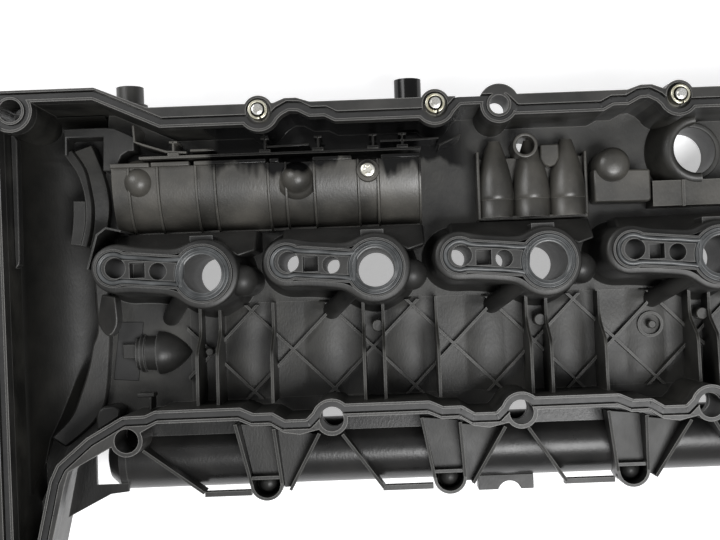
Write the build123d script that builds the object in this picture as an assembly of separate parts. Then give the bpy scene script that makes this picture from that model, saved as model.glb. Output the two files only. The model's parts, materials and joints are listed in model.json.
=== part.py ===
from build123d import *

import math
import os

# A plastic cylinder-head cover for an inline six, lying on its back.
# +X runs rearward along the row of plug wells, +Z points out of the open underside,
# and the origin is the axis of the first plug well on the sealing plane.

# Driving dimensions, in millimetres
PITCH = 91.0                 # distance between cylinders
CYLINDERS = 6
ROOF = -52.0                 # inner face of the roof
SKIN = 3.0                   # wall and roof thickness
FLANGE = 9.0                 # depth of the sealing flange
LIP = 1.4                    # width of the inner sealing lip
GROOVE = 3.8                 # width of the gasket groove
GROOVE_DEPTH = 4.5
BAY_FLOOR = -63.0            # inner face of the deeper timing bay
REST = -84.0                 # ends of the ball posts, which the cover stands on

STRAIGHT_LOW = -71.0         # inner lip on the exhaust side
STRAIGHT_HIGH = 77.4         # inner lip on the intake side
FRONT_IN = -104.0
REAR_IN = 497.0
OUT_LOW = -77.8
OUT_HIGH = 88.2
FRONT_OUT = -112.0
REAR_OUT = 505.0

BOSS_STEP = 99.7             # spacing of the exhaust-side bolt holes
LOW_BOSSES = [(65.2 + BOSS_STEP * i, -79.0) for i in range(5)]
FRONT_BOSS = (-43.0, -86.3)
BOSS_HOLE = 6.3
BOSS_OUT = 8.5
BOLT_Y = 84.4
BOLTS = [32.6, 125.4, 253.6, 346.4, 439.0]
BOLT_BOSS = 7.9
BOLT_RECESS = 6.6            # sunk ring round every sleeve
LOBE = 10.9                  # inner lip radius round every bolt
EMPTY_BOSS = (159.0, 83.0)
FRONT_CORNER = (-97.5, 89.1)
REAR_CORNER = (491.0, 82.5)
LOBE_END = (-101.5, -163.5)
SLEEVE_OUT = 5.1
SLEEVE_IN = 3.75
SLEEVE_LOW = -26.0
SLEEVE_TOP = 3.4
CORNER_ROUND = 2.0

WELL_BORE = 10.15
WELL_OUT = 15.7
TAIL_END = (-46.6, 4.4)      # far end of the seal's tail, from the well's axis
TAIL_HALF = 8.9
TAIL_ROUND = 10.2            # the tail swells round the injector hole
INJECTOR = (-45.5, 4.5)
INJECTOR_R = 5.4
SIDE_HOLE = (-23.2, 2.1)
SIDE_HOLE_R = 4.5

TUBE_Y = -99.8
TUBE_Z = -45.0
TUBE_R = 18.1
TUBE_FRONT = -50.0
TUBE_REAR = 486.0

FILLER = (272.0, 60.2)
FILLER_R = 13.5
VENT = (175.8, 65.0)
REGULATOR = (326.0, 45.0)
VALVE_STUB = (112.5, -46.0)  # X and Z of the vent stub that holds the check valve

NODES = {}


def polygon(points):
    return make_face(Polyline(*points, close=True))


def plate(face, low, high):
    return Pos(0, 0, low) * extrude(face, high - low, dir=(0, 0, 1))


def block(x0, x1, y0, y1, z0, z1):
    return Pos((x0 + x1) / 2, (y0 + y1) / 2, (z0 + z1) / 2) * Box(x1 - x0, y1 - y0, z1 - z0)


def post(x, y, radius, z0, z1):
    return Pos(x, y, (z0 + z1) / 2) * Cylinder(radius, z1 - z0)


def disc(x, y, radius):
    return Pos(x, y) * Circle(radius)


def side_profile(points, x0, x1):
    """A YZ outline swept along X."""
    face = Plane.YZ * polygon(points)
    return Pos(x0, 0, 0) * extrude(face, x1 - x0, dir=(1, 0, 0))


def rod(start, end, radius):
    """A round rod between two points."""
    way = Vector(*end) - Vector(*start)
    plane = Plane(origin=start, z_dir=way)
    return extrude(plane * Circle(radius), way.length)


def rod_x(x0, x1, y, z, radius):
    return Pos((x0 + x1) / 2, y, z) * Rot(0, 90, 0) * Cylinder(radius, x1 - x0)


def rod_y(x, y0, y1, z, radius):
    return Pos(x, (y0 + y1) / 2, z) * Rot(90, 0, 0) * Cylinder(radius, y1 - y0)


def rounded(points, radius):
    """A flat face inside a closed outline whose corners are arcs."""
    return make_face(FilletPolyline(*points, radius=radius, close=True))


def grown(points, distance):
    """An anticlockwise outline moved outward by a distance, with mitred corners."""
    moved = []
    count = len(points)
    for i in range(count):
        ax, ay = points[i - 1]
        bx, by = points[i]
        cx, cy = points[(i + 1) % count]
        la = math.hypot(bx - ax, by - ay)
        lb = math.hypot(cx - bx, cy - by)
        n1 = ((by - ay) / la, -(bx - ax) / la)
        n2 = ((cy - by) / lb, -(cx - bx) / lb)
        scale = distance / (1 + n1[0] * n2[0] + n1[1] * n2[1])
        moved.append((bx + (n1[0] + n2[0]) * scale, by + (n1[1] + n2[1]) * scale))
    return moved


def bump(bolt, side, steps):
    """Outline points of the swelling beside an intake-side bolt, taken towards the front."""
    points = [(bolt + side * along, height) for along, height in steps]
    return points if side < 0 else points[::-1]


INNER_BUMP = [(7.5, STRAIGHT_HIGH), (12, 81.6), (16, 83.7), (20.5, 83.4), (26.5, 80.2), (34.5, 80.2),
              (40, STRAIGHT_HIGH)]
OUTER_BUMP = [(8, OUT_HIGH), (14, 90.5), (20, 90.5), (27, OUT_HIGH)]


def opening_points():
    points = [(FRONT_IN, -152), (-95, -152), (-84.2, -106), (-80, -97.5), (-64, -84), (-45, -73.5), (-33, -73.3),
              (-27.5, STRAIGHT_LOW)]
    for x, _ in LOW_BOSSES:
        points += [(x - 48, STRAIGHT_LOW), (x - 41, -74.2), (x - 31, -74.2), (x - 24.5, -78.2), (x - 13.5, -78.2),
                   (x - 6, STRAIGHT_LOW)]
    points += [(REAR_IN, STRAIGHT_LOW), (REAR_IN, STRAIGHT_HIGH)]
    points += bump(BOLTS[4], -1, INNER_BUMP)
    points += bump(BOLTS[3], 1, INNER_BUMP)
    points += bump(BOLTS[2], -1, INNER_BUMP)
    points += [(167, STRAIGHT_HIGH), (161, 83.5), (139, 83.5), (133, STRAIGHT_HIGH)]
    points += bump(BOLTS[0], 1, INNER_BUMP)
    points += [(-19.5, STRAIGHT_HIGH), (-54.3, 93.3), (FRONT_IN, 93.3)]
    return points


def plan_points():
    points = [(FRONT_OUT, -171), (-92, -171), (-76.5, -109), (-74, -101.5), (-51.5, -89.5), (-35, -82),
              (-27, OUT_LOW)]
    for x, _ in LOW_BOSSES:
        points += [(x - 49, OUT_LOW), (x - 42, -80.9), (x - 32, -80.9), (x - 25.5, -85), (x - 17, -86.3), (x - 7, -84),
                   (x + 9, OUT_LOW)]
    points += [(REAR_OUT, OUT_LOW), (REAR_OUT, OUT_HIGH)]
    points += bump(BOLTS[4], -1, OUTER_BUMP)
    points += bump(BOLTS[3], 1, OUTER_BUMP)
    points += bump(BOLTS[2], -1, OUTER_BUMP)
    points += bump(BOLTS[0], 1, OUTER_BUMP)
    points += [(-26, OUT_HIGH), (-53.3, 99.7), (-105, 99.7), (FRONT_OUT, 94)]
    return points


def opening(grow=0.0):
    """The open underside, widened by a distance; every bolt pushes a lobe into it."""
    face = rounded(grown(opening_points(), grow), CORNER_ROUND)
    lobes = [(x, BOLT_Y, LOBE) for x in BOLTS]
    lobes += [(x, y, LOBE) for x, y in LOW_BOSSES]
    lobes += [(*EMPTY_BOSS, 9.8), (*FRONT_BOSS, 12.2), (*FRONT_CORNER, 11.4), (*REAR_CORNER, 10.4)]
    for x, y, radius in lobes:
        face -= disc(x, y, radius - grow)
    return face


def plan():
    """The flange's outer outline."""
    face = rounded(plan_points(), CORNER_ROUND)
    for x in BOLTS:
        face += disc(x, BOLT_Y, BOLT_BOSS)
    for x, y in LOW_BOSSES + [FRONT_BOSS, LOBE_END]:
        face += disc(x, y, BOSS_OUT)
    face += disc(*EMPTY_BOSS, LOBE)
    return face


def bay_edge(reach):
    """The timing bay in plan: everything in front of a bowed line."""
    back = Spline((-57 + reach, 100), (-63 + reach, 20), (-70 + reach, -40), (-98 + reach, -112))
    rest = Polyline((-98 + reach, -112), (-130, -180), (-130, 100), (-57 + reach, 100))
    return make_face(back + rest)


def tail(grow):
    """The long arm of a well's island: a slot from the axis to the injector."""
    half = TAIL_HALF + grow
    length = math.hypot(*TAIL_END)
    ux, uy = TAIL_END[0] / length, TAIL_END[1] / length
    corners = [(-uy * half, ux * half), (uy * half, -ux * half),
               (TAIL_END[0] + uy * half, TAIL_END[1] - ux * half), (TAIL_END[0] - uy * half, TAIL_END[1] + ux * half)]
    return polygon(corners) + disc(*TAIL_END, TAIL_ROUND + grow)


def island(grow=0.0):
    return tail(grow) + Circle(WELL_OUT + grow)


def seal_track(side_gap=0.0):
    """Where the dog-bone seal lies: a ring round the well and a loop round the tail."""
    track = tail(-1.2 - side_gap) + Circle(WELL_OUT - 1.2 - side_gap)
    track -= Circle(WELL_BORE + 1.2 + side_gap)
    track -= tail(-4.0 + side_gap) - Circle(WELL_OUT - 1.2 - side_gap)
    return track


def well_places():
    return [Pos(PITCH * n, 0, 0) for n in range(CYLINDERS)]


def cover_shell():
    wall = opening(SKIN)
    hollow = opening()
    bay = bay_edge(0)
    shell = plate(wall, ROOF - SKIN, -FLANGE) - plate(hollow, ROOF, 0)
    shell += plate(wall & bay_edge(SKIN), BAY_FLOOR - SKIN, ROOF)
    shell -= plate(hollow & bay, BAY_FLOOR, ROOF)
    shell -= [place * plate(island(), ROOF - 2 * SKIN, ROOF + 1) for place in well_places()]
    shell -= post(*FILLER, FILLER_R + SKIN, ROOF - 2 * SKIN, ROOF + 1)
    shell -= post(*VENT, 6.9, ROOF - 2 * SKIN, ROOF + 1)
    shell -= post(*REGULATOR, 4.0, ROOF - 2 * SKIN, ROOF + 1)
    shell -= rod_y(VALVE_STUB[0], 70, 84, VALVE_STUB[1], 6.0)
    return shell


def roof_stiffeners():
    """Ribs on the outer face of the roof: two rails and cross ribs between the coils."""
    low, high = ROOF - SKIN - 5, ROOF - SKIN
    ribs = block(-50, 490, 21.5, 23.5, low, high) + block(-15, 490, -23.5, -21.5, low, high)
    for n in range(CYLINDERS):
        x = PITCH * n + 26
        ribs += block(x, x + 2, -70, -23.5, low, high)
        ribs += block(x - 45, x - 43, -70, -23.5, low, high) if n else block(x + 6, x + 8, -70, -23.5, low, high)
    return ribs - post(*REGULATOR, 28.05, low - 1, high + 1) - post(*FILLER, FILLER_R + 6.05, low - 1, high + 1)


def sealing_flange():
    """Two lips with a groove between them, on a band, with a post under every bolt."""
    holes = [disc(x, BOLT_Y, SLEEVE_OUT) for x in BOLTS]
    holes += [disc(x, y, BOSS_HOLE) for x, y in LOW_BOSSES + [FRONT_BOSS]]
    holes += [disc(*EMPTY_BOSS, 4.9), disc(*FRONT_CORNER, 6.0), disc(*REAR_CORNER, 4.9), disc(*LOBE_END, 4.9)]
    band = plan() - opening() - holes
    groove = opening(LIP + GROOVE) - opening(LIP)
    groove -= [disc(*EMPTY_BOSS, 6.4), disc(*FRONT_CORNER, 7.3), disc(*REAR_CORNER, 6.3)]
    groove += [disc(x, BOLT_Y, BOLT_RECESS) for x in BOLTS]
    flange = plate(band, -FLANGE, -GROOVE_DEPTH) + plate(band - groove, -GROOVE_DEPTH, 0)
    posts = [disc(x, BOLT_Y, BOLT_BOSS + 0.3) for x in BOLTS]
    posts += [disc(x, y, BOSS_OUT) for x, y in LOW_BOSSES + [FRONT_BOSS]]
    posts += [disc(*FRONT_CORNER, 9), disc(*EMPTY_BOSS, 8.5), disc(*REAR_CORNER, 8.5)]
    wall = opening(SKIN)
    for round_post in posts:
        flange += plate(round_post - wall - holes, SLEEVE_LOW, -FLANGE)
    return flange_lengths(flange)


def flange_lengths(flange):
    """The flange as six lengths that meet face to face, so that none bends round the opening."""
    low, high = SLEEVE_LOW - 1, 1
    cuts = [(-120, -103, -150, 110), (-120, -60, -180, -150), (-103, -20, -150, -60), (-20, 520, -120, -60),
            (480, 520, -60, 70), (-103, 520, 70, 110)]
    lengths = []
    for x0, x1, y0, y1 in cuts:
        lengths += (flange & block(x0, x1, y0, y1, low, high)).solids()
    return Compound(children=[length for length in lengths if length.volume > 1])


def perimeter_gasket():
    track = opening(LIP + GROOVE - 0.9) - opening(LIP + 0.15)
    for x in BOLTS:
        track -= disc(x, BOLT_Y, 7.1)
    for x, y in LOW_BOSSES + [FRONT_BOSS]:
        track -= disc(x, y, BOSS_HOLE + 0.4)
    track -= disc(*EMPTY_BOSS, 6.7) + disc(*FRONT_CORNER, 7.6) + disc(*REAR_CORNER, 6.6)
    return plate(track, -GROOVE_DEPTH, -1.3)


def oil_pipe(radius):
    """The slanted pipe from a well's island down to the roof."""
    return rod((-11, -9, -12), (-28, -24, -57), radius)


def plug_well():
    """One well: an island with a coil bore, an injector hole and a seal groove, and the posts against it."""
    well = plate(island(), ROOF - SKIN, 0)
    well += post(0, 0, 14.5, -64, ROOF - SKIN)
    well += post(*INJECTOR, 8.0, -60, ROOF - SKIN)
    well += post(19.0, -4.0, 8.6, ROOF, -16) + Pos(19.0, -4.0, -16) * Sphere(8.6)
    well += block(-7.3, 4.9, 10, 20.5, ROOF, -9)
    well += oil_pipe(5.0) & block(-40, 10, -40, 0, ROOF, -10)
    well -= post(0, 0, WELL_BORE, -70, 1)
    well -= post(*INJECTOR, INJECTOR_R, -70, 1) + post(*SIDE_HOLE, SIDE_HOLE_R, -70, 1)
    well -= block(-38, -30, -1, 7, -9, 1)
    well -= plate(seal_track(), -3.2, 1)
    return well


def well_gasket():
    return plate(seal_track(0.15), -3.2, 0.9)


def roof_ribs():
    """The low diamond lattice and the tall baffle ribs between the wells and the exhaust-side wall."""
    half = PITCH / 2
    area = polygon([(-17, STRAIGHT_LOW + 0.2), (493, STRAIGHT_LOW + 0.2), (493, -17.5), (-17, -17.5)])
    lattice = None
    for k in range(-1, 11):
        for slope in (45, -45):
            strip = Pos(42.5 + half * k, -43.5) * Rot(0, 0, slope) * Rectangle(90, 1.5)
            lattice = strip if lattice is None else lattice + strip
    clear = plate(opening(-0.1), ROOF, 0)
    for place in well_places():
        clear -= place * (post(19, -4, 8.7, ROOF - 1, 0) + plate(island(0.05), ROOF - 1, 0) + oil_pipe(5.1))
    edge = [(STRAIGHT_LOW + 0.1, ROOF), (STRAIGHT_LOW + 0.1, -20), (-46, -22), (-42, -24), (-34, -36), (-29, -38.5),
            (-16.5, -38.5), (-16.5, ROOF)]
    low_ribs = plate(lattice & area, ROOF, ROOF + 4.5) & clear
    solids = []
    for n in range(CYLINDERS):
        for x in (-8, 3, 32.7):
            rib = side_profile(edge, PITCH * n + x - 0.8, PITCH * n + x + 0.8)
            low_ribs -= rib
            solids += (rib & clear).solids()
    solids += low_ribs.solids()
    return Compound(children=[solid for solid in solids if solid.volume > 2])


def reservoir_tube():
    tube = rod_x(TUBE_FRONT, TUBE_REAR, TUBE_Y, TUBE_Z, TUBE_R)
    tube -= rod_x(TUBE_FRONT - 1, TUBE_REAR + 1, TUBE_Y, TUBE_Z, TUBE_R - 2.5)
    return tube


def reservoir_web():
    """The strip that ties the tube to the exhaust-side wall, and the sheet in front of it."""
    strip = block(TUBE_FRONT, TUBE_REAR, TUBE_Y + 12, STRAIGHT_LOW - SKIN, -34, -31)
    strip -= rod_x(TUBE_FRONT - 1, TUBE_REAR + 1, TUBE_Y, TUBE_Z, TUBE_R)
    strip -= plate(opening(SKIN), -60, 0)
    for x, y in LOW_BOSSES + [FRONT_BOSS]:
        strip -= post(x, y, BOSS_HOLE + 0.2, -60, 0)
    sheet = plate(polygon([(-84, -131), (-60, -119), (TUBE_FRONT, -118), (TUBE_FRONT, -84), (-60, -86), (-78, -104)]),
                  -36, -33)
    sheet -= plate(opening(SKIN), -60, 0)
    sheet -= rod_x(TUBE_FRONT - 17.5, TUBE_REAR, TUBE_Y, TUBE_Z, TUBE_R + 0.05)
    solids = [solid for solid in (strip + sheet).solids() if solid.volume > 60]
    return Compound(children=solids)


def end_cap(x, toward):
    """A tapered end welded on the tube, with a spigot inside it."""
    outline = [(0, 0), (12, 0), (12, 7), (10.5, 12), (4, TUBE_R), (0, TUBE_R), (0, TUBE_R - 2.6), (-6, TUBE_R - 2.6),
               (-6, TUBE_R - 5), (0, TUBE_R - 5)]
    face = polygon([(toward * along, out) for along, out in outline])
    cap = Pos(x, TUBE_Y, TUBE_Z) * revolve(face, Axis.X)
    return cap - plate(opening(SKIN), -70, 0)


def bracket_ear(x):
    """A U-shaped frame from the flange over the tube to a rounded ear."""
    outer = Pos(x, -100) * Rectangle(21.2, 44) + disc(x, -122, 10.6)
    inner = Pos(x, -100) * Rectangle(17.2, 44) + disc(x, -122, 8.6)
    rim = [(-78, -2), (-120, -48), (-133, -50), (-133, -60), (-117, -60), (-78, -18)]
    floor = [(-78, -9), (-118, -52), (-133, -56), (-133, -60), (-117, -60), (-78, -13)]
    frame = plate(outer - inner, -62, 0) & side_profile(rim, x - 12, x + 12)
    tongue = plate(inner, -62, 0) & side_profile(floor, x - 12, x + 12)
    knob = post(x, -124, 5.6, -60, -52) + Pos(x, -124, -52) * Sphere(5.6)
    return frame + tongue + knob


def gusset(x0, y0, x1, y1):
    """A thin sloping rib from a bolt boss to the tube's outer side."""
    run = math.hypot(x1 - x0, y1 - y0)
    outline = [(0, -3), (run, -42), (run, -58), (0, -26)]
    face = Plane.XZ * polygon(outline)
    rib = Pos(0, 0.8, 0) * extrude(face, 1.6, dir=(0, -1, 0))
    return Pos(x0, y0, 0) * Rot(0, 0, math.degrees(math.atan2(y1 - y0, x1 - x0))) * rib


def exhaust_brackets():
    """Bracket ears and gussets over the reservoir tube, trimmed to the faces they stand on."""
    brackets = []
    for i in range(5):
        x, y = LOW_BOSSES[i]
        ear = x - 40.5
        brackets.append(bracket_ear(ear))
        left, right = x - 24.5, x + 21
        brackets.append(gusset(x - 5, y - 7, left, -120))
        brackets.append(gusset(x + 5, y - 7, right, -121))
        if i < 4:
            brackets.append(block(right, ear + BOSS_STEP - 10.6, -123, -121, -52, -44))
    x, y = FRONT_BOSS
    brackets.append(gusset(x + 6, y - 6, x + 36, -120))
    brackets.append(block(x + 36, LOW_BOSSES[0][0] - 40.5 - 10.6, -123, -121, -52, -44))
    keep_out = rod_x(TUBE_FRONT - 20, TUBE_REAR + 20, TUBE_Y, TUBE_Z, TUBE_R)
    keep_out += plate(opening(SKIN), -70, 1)
    keep_out += plate(plan(), -FLANGE, 1)
    for x, y in LOW_BOSSES + [FRONT_BOSS]:
        keep_out += post(x, y, BOSS_OUT, -24, 0)
    keep_out += block(TUBE_FRONT - 40, TUBE_REAR, TUBE_Y + 11, 0, -34.1, -30.9)
    joined = brackets[0]
    for bracket in brackets[1:]:
        joined += bracket
    joined -= keep_out
    return Compound(children=[solid for solid in joined.solids() if solid.volume > 60])


def front_baffle():
    """The arched cover of the oil separator, with its ribs, two domes and a screw boss."""
    outer = [(24.5, ROOF), (24.5, -49), (29, -40), (36, -33.5), (44, -30), (52, -28.5), (61, -28.5), (61, ROOF)]
    inner = [(27, ROOF - 1), (27, -49), (31, -41.5), (37, -35.8), (44.5, -32.4), (52, -31), (58.5, -31),
             (58.5, ROOF - 1)]
    arch = side_profile(outer, -52.5, 118) - side_profile(inner, -50.5, 116)
    high = [(24, ROOF), (24, -48), (28.2, -38.7), (35.4, -32), (43.6, -28.4), (51.8, -26.8), (58, -26.8), (58, -30),
            (44, -32), (30, -43), (27.5, ROOF)]
    for x in (-43, -27, -6, 4.3, 33.7, 83.3, 94.1, 117.2):
        arch += side_profile(high, x - 0.8, x + 0.8)
    arch += block(-52.5, 118, 59, 62, -31, -26)
    arch += Pos(49.2, 51.5, -31) * Sphere(9.4) & block(30, 70, 38, 66, -31, 0)
    arch += Pos(-38.4, 53.5, -33) * Sphere(9.0) & block(-60, -20, 38, 66, -33, 0)
    arch += post(88.7, 54, 6.2, ROOF, -25)
    arch += block(83, 94.5, 44, 54, -34, -30)
    arch -= post(88.7, 54, 2.0, -45, 0)
    return arch


def snap_strip():
    """The upright sheet with T-shaped clips behind the separator's cover."""
    strip = block(-36, 118, 64.2, 65.6, ROOF, -24)
    for x in (-17, 33, 62, 92, 108):
        strip += block(x - 0.7, x + 0.7, 65.6, 71, ROOF, -26) + block(x - 3, x + 3, 65.6, 67, -30, -23)
    return strip


def cyclone_separator():
    """Three cone-shaped chambers side by side on a common base."""
    body = block(149.5, 210, 24.5, 28, ROOF, -38)
    for i in range(3):
        x = 159.5 + 20.2 * i
        body += rod_y(x, 26, 46, -43, 10.0)
        body += Pos(x, 56, -43) * Rot(-90, 0, 0) * Cone(10.0, 4.5, 20)
    body = body & block(148, 212, 20, 66, ROOF, 0)
    body += block(149.5, 152, 28, 62, ROOF, -36) + block(209, 211, 28, 62, ROOF, -40)
    body -= post(*VENT, 7.0, -60, 0)
    return body


def vent_stack():
    return post(*VENT, 6.9, -62, -30) - post(*VENT, 5.0, -70, 0)


def rear_baffle():
    """The flat cover behind the cyclones, with a round pot beside the oil filler."""
    low = block(213, 243, 32, 50, ROOF, -31) - block(215, 241, 34, 48, -60, -33.5)
    low += post(223.5, 52.5, 9.4, ROOF, -27) + (Pos(223.5, 52.5, -33) * Sphere(11.2) & block(210, 240, 40, 66, -31, 0))
    long = block(246, 480, 29, 43, ROOF, -34) - block(248, 478, 31, 41, -60, -36.5)
    for x in (262, 290, 360, 400, 440):
        long += block(x, x + 1.6, 28.5, 43, -36, -32.8)
    return low, long


def filler_neck():
    """The oil filler: a round neck through the roof with two bayonet lugs."""
    neck = post(*FILLER, FILLER_R + SKIN, -78, -48) + post(*FILLER, FILLER_R + 6, -62, ROOF - SKIN)
    neck -= post(*FILLER, FILLER_R, -90, 0)
    return neck


def hose_stub(x, z, collar, end):
    """A short pipe on the intake side, standing on a collar and pointing away from the wells."""
    stub = rod_y(x, 76, end, z, 7.6) + rod_y(x, 76, collar, z, 9.6)
    return stub - rod_y(x, 70, end + 1, z, 6.0) - plate(opening(SKIN), -60, 0)


def check_valve():
    """Seat, guide and sliding disc of the vent's non-return valve."""
    x, z = VALVE_STUB
    seat = rod_y(x, 92, 94, z, 5.98) - rod_y(x, 90, 96, z, 3.6)
    guide = rod_y(x, 86, 88, z, 5.98) - rod_y(x, 85, 89, z, 4.6)
    guide += rod_y(x, 86, 88, z, 2.2) + Pos(x, 87, z) * Box(10.5, 2, 1.4) + Pos(x, 87, z) * Box(1.4, 2, 10.5)
    guide -= rod_y(x, 80, 90, z, 1.05)
    flap = rod_y(x, 94.02, 95.4, z, 5.2) + rod_y(x, 84, 95, z, 1.0)
    return seat, guide, flap


def split_sleeve(x):
    sleeve = post(x, BOLT_Y, SLEEVE_OUT, SLEEVE_LOW, SLEEVE_TOP) - post(x, BOLT_Y, SLEEVE_IN, -40, 5)
    return sleeve - block(x + 1, x + 1.6, BOLT_Y - 8, BOLT_Y, -40, 5)


def flange_bolt(x):
    """A captive bolt, dropped until its head hangs 4 mm below the sleeve."""
    bolt = Pos(0, 0, -37) * extrude(RegularPolygon(5.8, 6), 5.4)
    bolt += post(0, 0, 7.0, -32, -30.2) + post(0, 0, 2.9, -32, 4.6) + post(0, 0, 2.1, 4.6, 7.6)
    return Pos(x, BOLT_Y, 0) * bolt


def baffle_screw():
    """The screw that holds the front baffle down."""
    x, y, top = 88.7, 54, -25
    head = post(x, y, 4.35, top, top + 2.6) - Pos(x, y, top + 1.0) * extrude(RegularPolygon(2.2, 6), 3)
    return head + post(x, y, 1.9, top - 12, top)


def clip_bracket():
    """A hook for a pipe on the tube's outer side."""
    clip = block(144, 175, -126, -112, -54, -42) - post(161.5, -128, 6.7, -60, -30)
    return clip - rod_x(100, 200, TUBE_Y, TUBE_Z, TUBE_R)


def ball_post(x, y, foot):
    return post(x, y, 6, foot + 14, ROOF - SKIN) + post(x, y, 4, foot, foot + 14) + post(x, y, 6, foot, foot + 5)


def timing_arch():
    """The bowed band that borders the timing bay."""
    band = (bay_edge(6.4) - bay_edge(1.5)) & opening(-0.05)
    arch = plate(band, ROOF, -42)
    ledge = block(-80, -38, 78, 85, -52, -35) + block(-50, -38, 66.2, 85, -52, -35)
    ledge = ledge & plate(opening(-0.05), -60, 0)
    return arch - block(-60, -30, -8, 16, -60, 0), ledge - arch


def thrust_cone():
    """A bullet-shaped boss on the roof beside the first well."""
    cone = rod_x(-43, -34, -42.6, ROOF, 10.5) + rod_x(-34, -30, -42.6, ROOF, 12)
    cone += Pos(-22.5, -42.6, ROOF) * Rot(0, 90, 0) * Cone(12, 4, 15)
    cone += block(-55, -43, -57, -27, ROOF, -46)
    return cone & block(-70, 0, -70, 0, ROOF, 0)


def regulator():
    """The pressure regulator on the roof: cup, cap, diaphragm, plate and spring."""
    x, y = REGULATOR
    base = ROOF - SKIN
    cup = post(x, y, 28, base - 11, base) - post(x, y, 25, base - 12, base - 2.5)
    cup += post(x, y, 7, base - 6, base - 2)
    cup -= post(x, y, 4, base - 12, base + 1)
    cap = post(x, y, 28, base - 17, base - 12.2) - post(x, y, 24.5, base - 15, base - 12)
    cap -= post(x + 12, y, 1.5, base - 20, base - 10)
    diaphragm = post(x, y, 28, base - 12.2, base - 11) - post(x, y, 9, base - 13, base - 10)
    disc_plate = post(x, y, 12, base - 11, base - 9.8) + post(x, y, 8.9, base - 14, base - 9.8)
    path = Helix(pitch=2.2, height=6.0, radius=9.6)
    wire = Plane(origin=path @ 0, z_dir=path % 0) * Circle(0.55)
    spring = Pos(x, y, base - 9.2) * sweep(wire, path, is_frenet=True)
    return cup, cap, diaphragm, disc_plate, spring


def build():
    shell = cover_shell() + roof_stiffeners()
    NODES["cover_shell"] = shell
    NODES["sealing_flange"] = sealing_flange()
    NODES["perimeter_gasket"] = perimeter_gasket()
    well, gasket = plug_well(), well_gasket()
    for n, place in enumerate(well_places(), start=1):
        NODES[f"plug_well_{n}"] = place * well
        NODES[f"well_gasket_{n}"] = place * gasket
    NODES["roof_ribs"] = roof_ribs()
    NODES["reservoir_tube"] = reservoir_tube()
    NODES["reservoir_web"] = reservoir_web()
    NODES["reservoir_cap_front"] = end_cap(TUBE_FRONT, -1)
    NODES["reservoir_cap_rear"] = end_cap(TUBE_REAR, 1)
    NODES["front_baffle"] = front_baffle()
    NODES["snap_strip"] = snap_strip()
    NODES["cyclone_separator"] = cyclone_separator()
    NODES["vent_stack"] = vent_stack()
    NODES["pot_baffle"], NODES["rear_baffle"] = rear_baffle()
    NODES["filler_neck"] = filler_neck()
    for x in BOLTS:
        number = BOLTS.index(x) + 1
        NODES[f"flange_bolt_{number}"] = flange_bolt(x)
    NODES["timing_arch"], NODES["timing_ledge"] = timing_arch()
    NODES["thrust_cone"] = thrust_cone()
    NODES["exhaust_brackets"] = exhaust_brackets()
    NODES["front_hose_stub"] = hose_stub(-44.0, -46.0, 97.5, 107.5)
    NODES["vent_hose_stub"] = hose_stub(*VALVE_STUB, 88.0, 106.0)
    NODES["valve_seat"], NODES["valve_guide"], NODES["valve_disc"] = check_valve()
    NODES["bolt_sleeves"] = Compound(children=[split_sleeve(x) for x in BOLTS])
    NODES["baffle_screw"] = baffle_screw()
    NODES["clip_bracket"] = clip_bracket()
    feet = [(-46, 60), (-48, -60), (228, -60), (228, 56), (455, 60), (470, -60)]
    NODES["ball_posts"] = Compound(children=[ball_post(x, y, REST) for x, y in feet])
    cup, cap, diaphragm, disc_plate, spring = regulator()
    NODES["regulator_cup"] = cup
    NODES["regulator_cap"] = cap
    NODES["regulator_diaphragm"] = diaphragm
    NODES["regulator_plate"] = disc_plate
    NODES["regulator_spring"] = spring


def export_all():
    os.makedirs("parts", exist_ok=True)
    for name, shape in NODES.items():
        export_step(shape, f"parts/{name}.step")


build()
export_all()
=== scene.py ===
import json
import math

import bmesh
import bpy
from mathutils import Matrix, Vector, noise


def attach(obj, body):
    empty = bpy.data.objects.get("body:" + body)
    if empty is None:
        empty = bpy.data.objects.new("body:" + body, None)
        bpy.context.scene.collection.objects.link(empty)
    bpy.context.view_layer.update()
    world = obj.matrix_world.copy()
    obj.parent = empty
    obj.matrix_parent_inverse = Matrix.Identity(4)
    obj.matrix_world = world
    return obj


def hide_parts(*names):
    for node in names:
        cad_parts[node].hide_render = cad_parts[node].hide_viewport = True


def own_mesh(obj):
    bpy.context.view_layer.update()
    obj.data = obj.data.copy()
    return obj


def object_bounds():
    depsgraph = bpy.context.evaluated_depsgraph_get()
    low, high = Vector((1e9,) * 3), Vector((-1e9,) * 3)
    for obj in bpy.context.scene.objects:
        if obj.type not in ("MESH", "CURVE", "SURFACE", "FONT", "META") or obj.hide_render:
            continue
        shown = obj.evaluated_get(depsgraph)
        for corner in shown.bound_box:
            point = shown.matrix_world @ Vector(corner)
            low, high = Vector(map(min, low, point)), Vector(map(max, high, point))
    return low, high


# Looks for the cylinder-head cover. Shapes are written in millimetres, like the CAD
# model, and turned into metres when a mesh is made.
MM = 0.001
PITCH = 91.0
CYLINDERS = 6
ROOF = -52.0
BAY_FLOOR = -63.0
TAIL_END = (-46.6, 4.4)
WELL_RING = 15.7             # outer radius of a well's island round the coil bore
TAIL_HALF = 8.9
TAIL_ROUND = 10.2
FIRST_HOLE = 65.2            # X of the first exhaust-side bolt hole
HOLE_STEP = 99.7
HOLES = 5
EAR_OFFSET = 37.6            # a bracket ear stands this far in front of its hole
REGULATOR = (326.0, 45.0)
CAMERA_PLACE = (95.4, -17.4, 600.0)

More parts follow.
